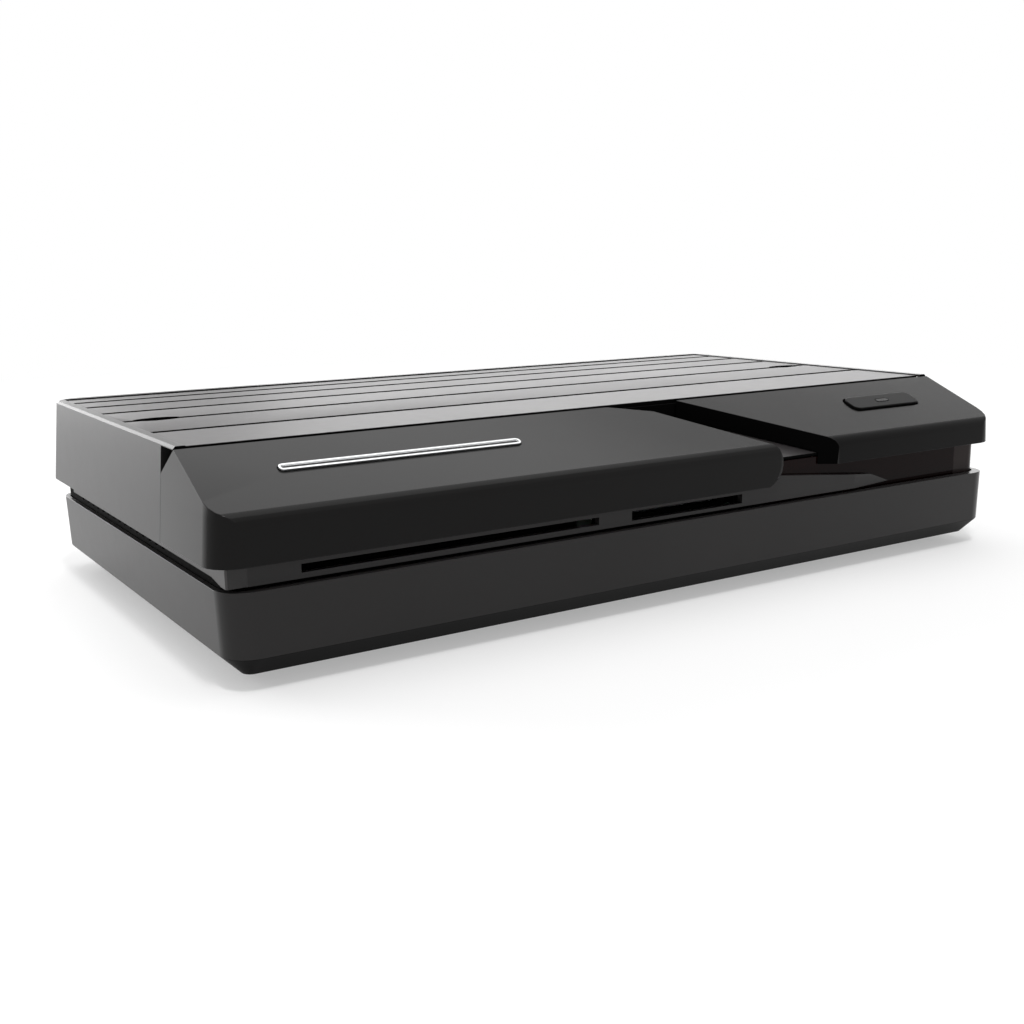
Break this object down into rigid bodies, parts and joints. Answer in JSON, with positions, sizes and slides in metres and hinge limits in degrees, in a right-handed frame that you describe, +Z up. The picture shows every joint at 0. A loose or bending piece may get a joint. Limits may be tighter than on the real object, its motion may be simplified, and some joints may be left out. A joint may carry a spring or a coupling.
{
  "type": "satellite tv receiver",
  "caption": "Low desktop television receiver in black plastic with a slatted top, card slots under a bonnet, a dark display window, a push button and rear sockets.",
  "frame": {"origin": "middle of the bounding box, on the surface that the rubber feet stand on", "axes": "+X to the right seen from the front, -Y out of the front face with the card slots, +Z up"},
  "size_m": [0.222, 0.132, 0.0443],
  "materials": {
    "satin_black": "satin, finely grained",
    "gloss_black": "high gloss",
    "matte_black": "matte",
    "window_red": "high gloss, dark red tint",
    "chrome": "bright plated",
    "pale_lens": "clear, polished",
    "rubber": "matte",
    "dark_plastic": "matte",
    "board_green": "satin solder mask",
    "ribbon_white": "satin",
    "aluminium": "satin",
    "tin_steel": "satin tin plate",
    "nickel": "nickel plated",
    "screw_steel": "zinc plated"
  },
  "bodies": {
    "housing": {"lower_case": "satin_black", "top_cover": "satin_black", "front_lip": "satin_black", "front_bonnet": "gloss_black", "front_hood": "gloss_black", "remote_receiver": "gloss_black", "inner_frame": "matte_black", "rear_panel": "matte_black", "display_window": "window_red", "trim_bar": "chrome", "status_lamp_1": "pale_lens", "status_lamp_2": "pale_lens", "foot_front_left": "rubber", "foot_front_right": "rubber", "foot_rear_left": "rubber", "foot_rear_right": "rubber", "switch_body": "dark_plastic", "processor_chip": "dark_plastic", "memory_chip_1": "dark_plastic", "memory_chip_2": "dark_plastic", "flash_chip": "dark_plastic", "power_inductor": "dark_plastic", "board_header": "dark_plastic", "dc_inlet": "dark_plastic", "audio_jack": "dark_plastic", "key_board": "board_green", "main_board": "board_green", "reader_board": "board_green", "front_board": "board_green", "key_ribbon": "ribbon_white", "heat_sink": "aluminium", "capacitor_1": "aluminium", "capacitor_2": "aluminium", "radio_module": "tin_steel", "smart_card_reader": "tin_steel", "memory_card_socket": "tin_steel", "lan_socket": "tin_steel", "usb_socket": "tin_steel", "hdmi_socket": "tin_steel", "tuner_can": "tin_steel", "aerial_connector_left": "nickel", "aerial_connector_right": "nickel", "standoff_front_left": "nickel", "standoff_front_right": "nickel", "standoff_rear_left": "nickel", "standoff_rear_right": "nickel", "case_screw_front_left": "screw_steel", "case_screw_front_right": "screw_steel", "case_screw_rear_left": "screw_steel", "case_screw_rear_right": "screw_steel", "board_screw_front_left": "screw_steel", "board_screw_front_right": "screw_steel", "board_screw_rear_left": "screw_steel", "board_screw_rear_right": "screw_steel", "key_board_screw_left": "screw_steel", "key_board_screw_right": "screw_steel"},
    "button": {"power_button": "gloss_black", "button_light_pipe": "pale_lens"},
    "plunger": {"switch_plunger": "dark_plastic"}
  },
  "joints": [
    {"name": "button_slide", "type": "slide", "parent": "housing", "child": "button", "axis": [0, 0.4043, -0.9146], "range_m": [0, 0.0005], "stiffness_N_per_m": 1000},
    {"name": "plunger_slide", "type": "slide", "parent": "housing", "child": "plunger", "axis": [0, 0.4043, -0.9146], "range_m": [0, 0.0005]}
  ],
  "couplings": [
    {"joint": "plunger_slide", "follows": "button_slide", "ratio": 1}
  ]
}
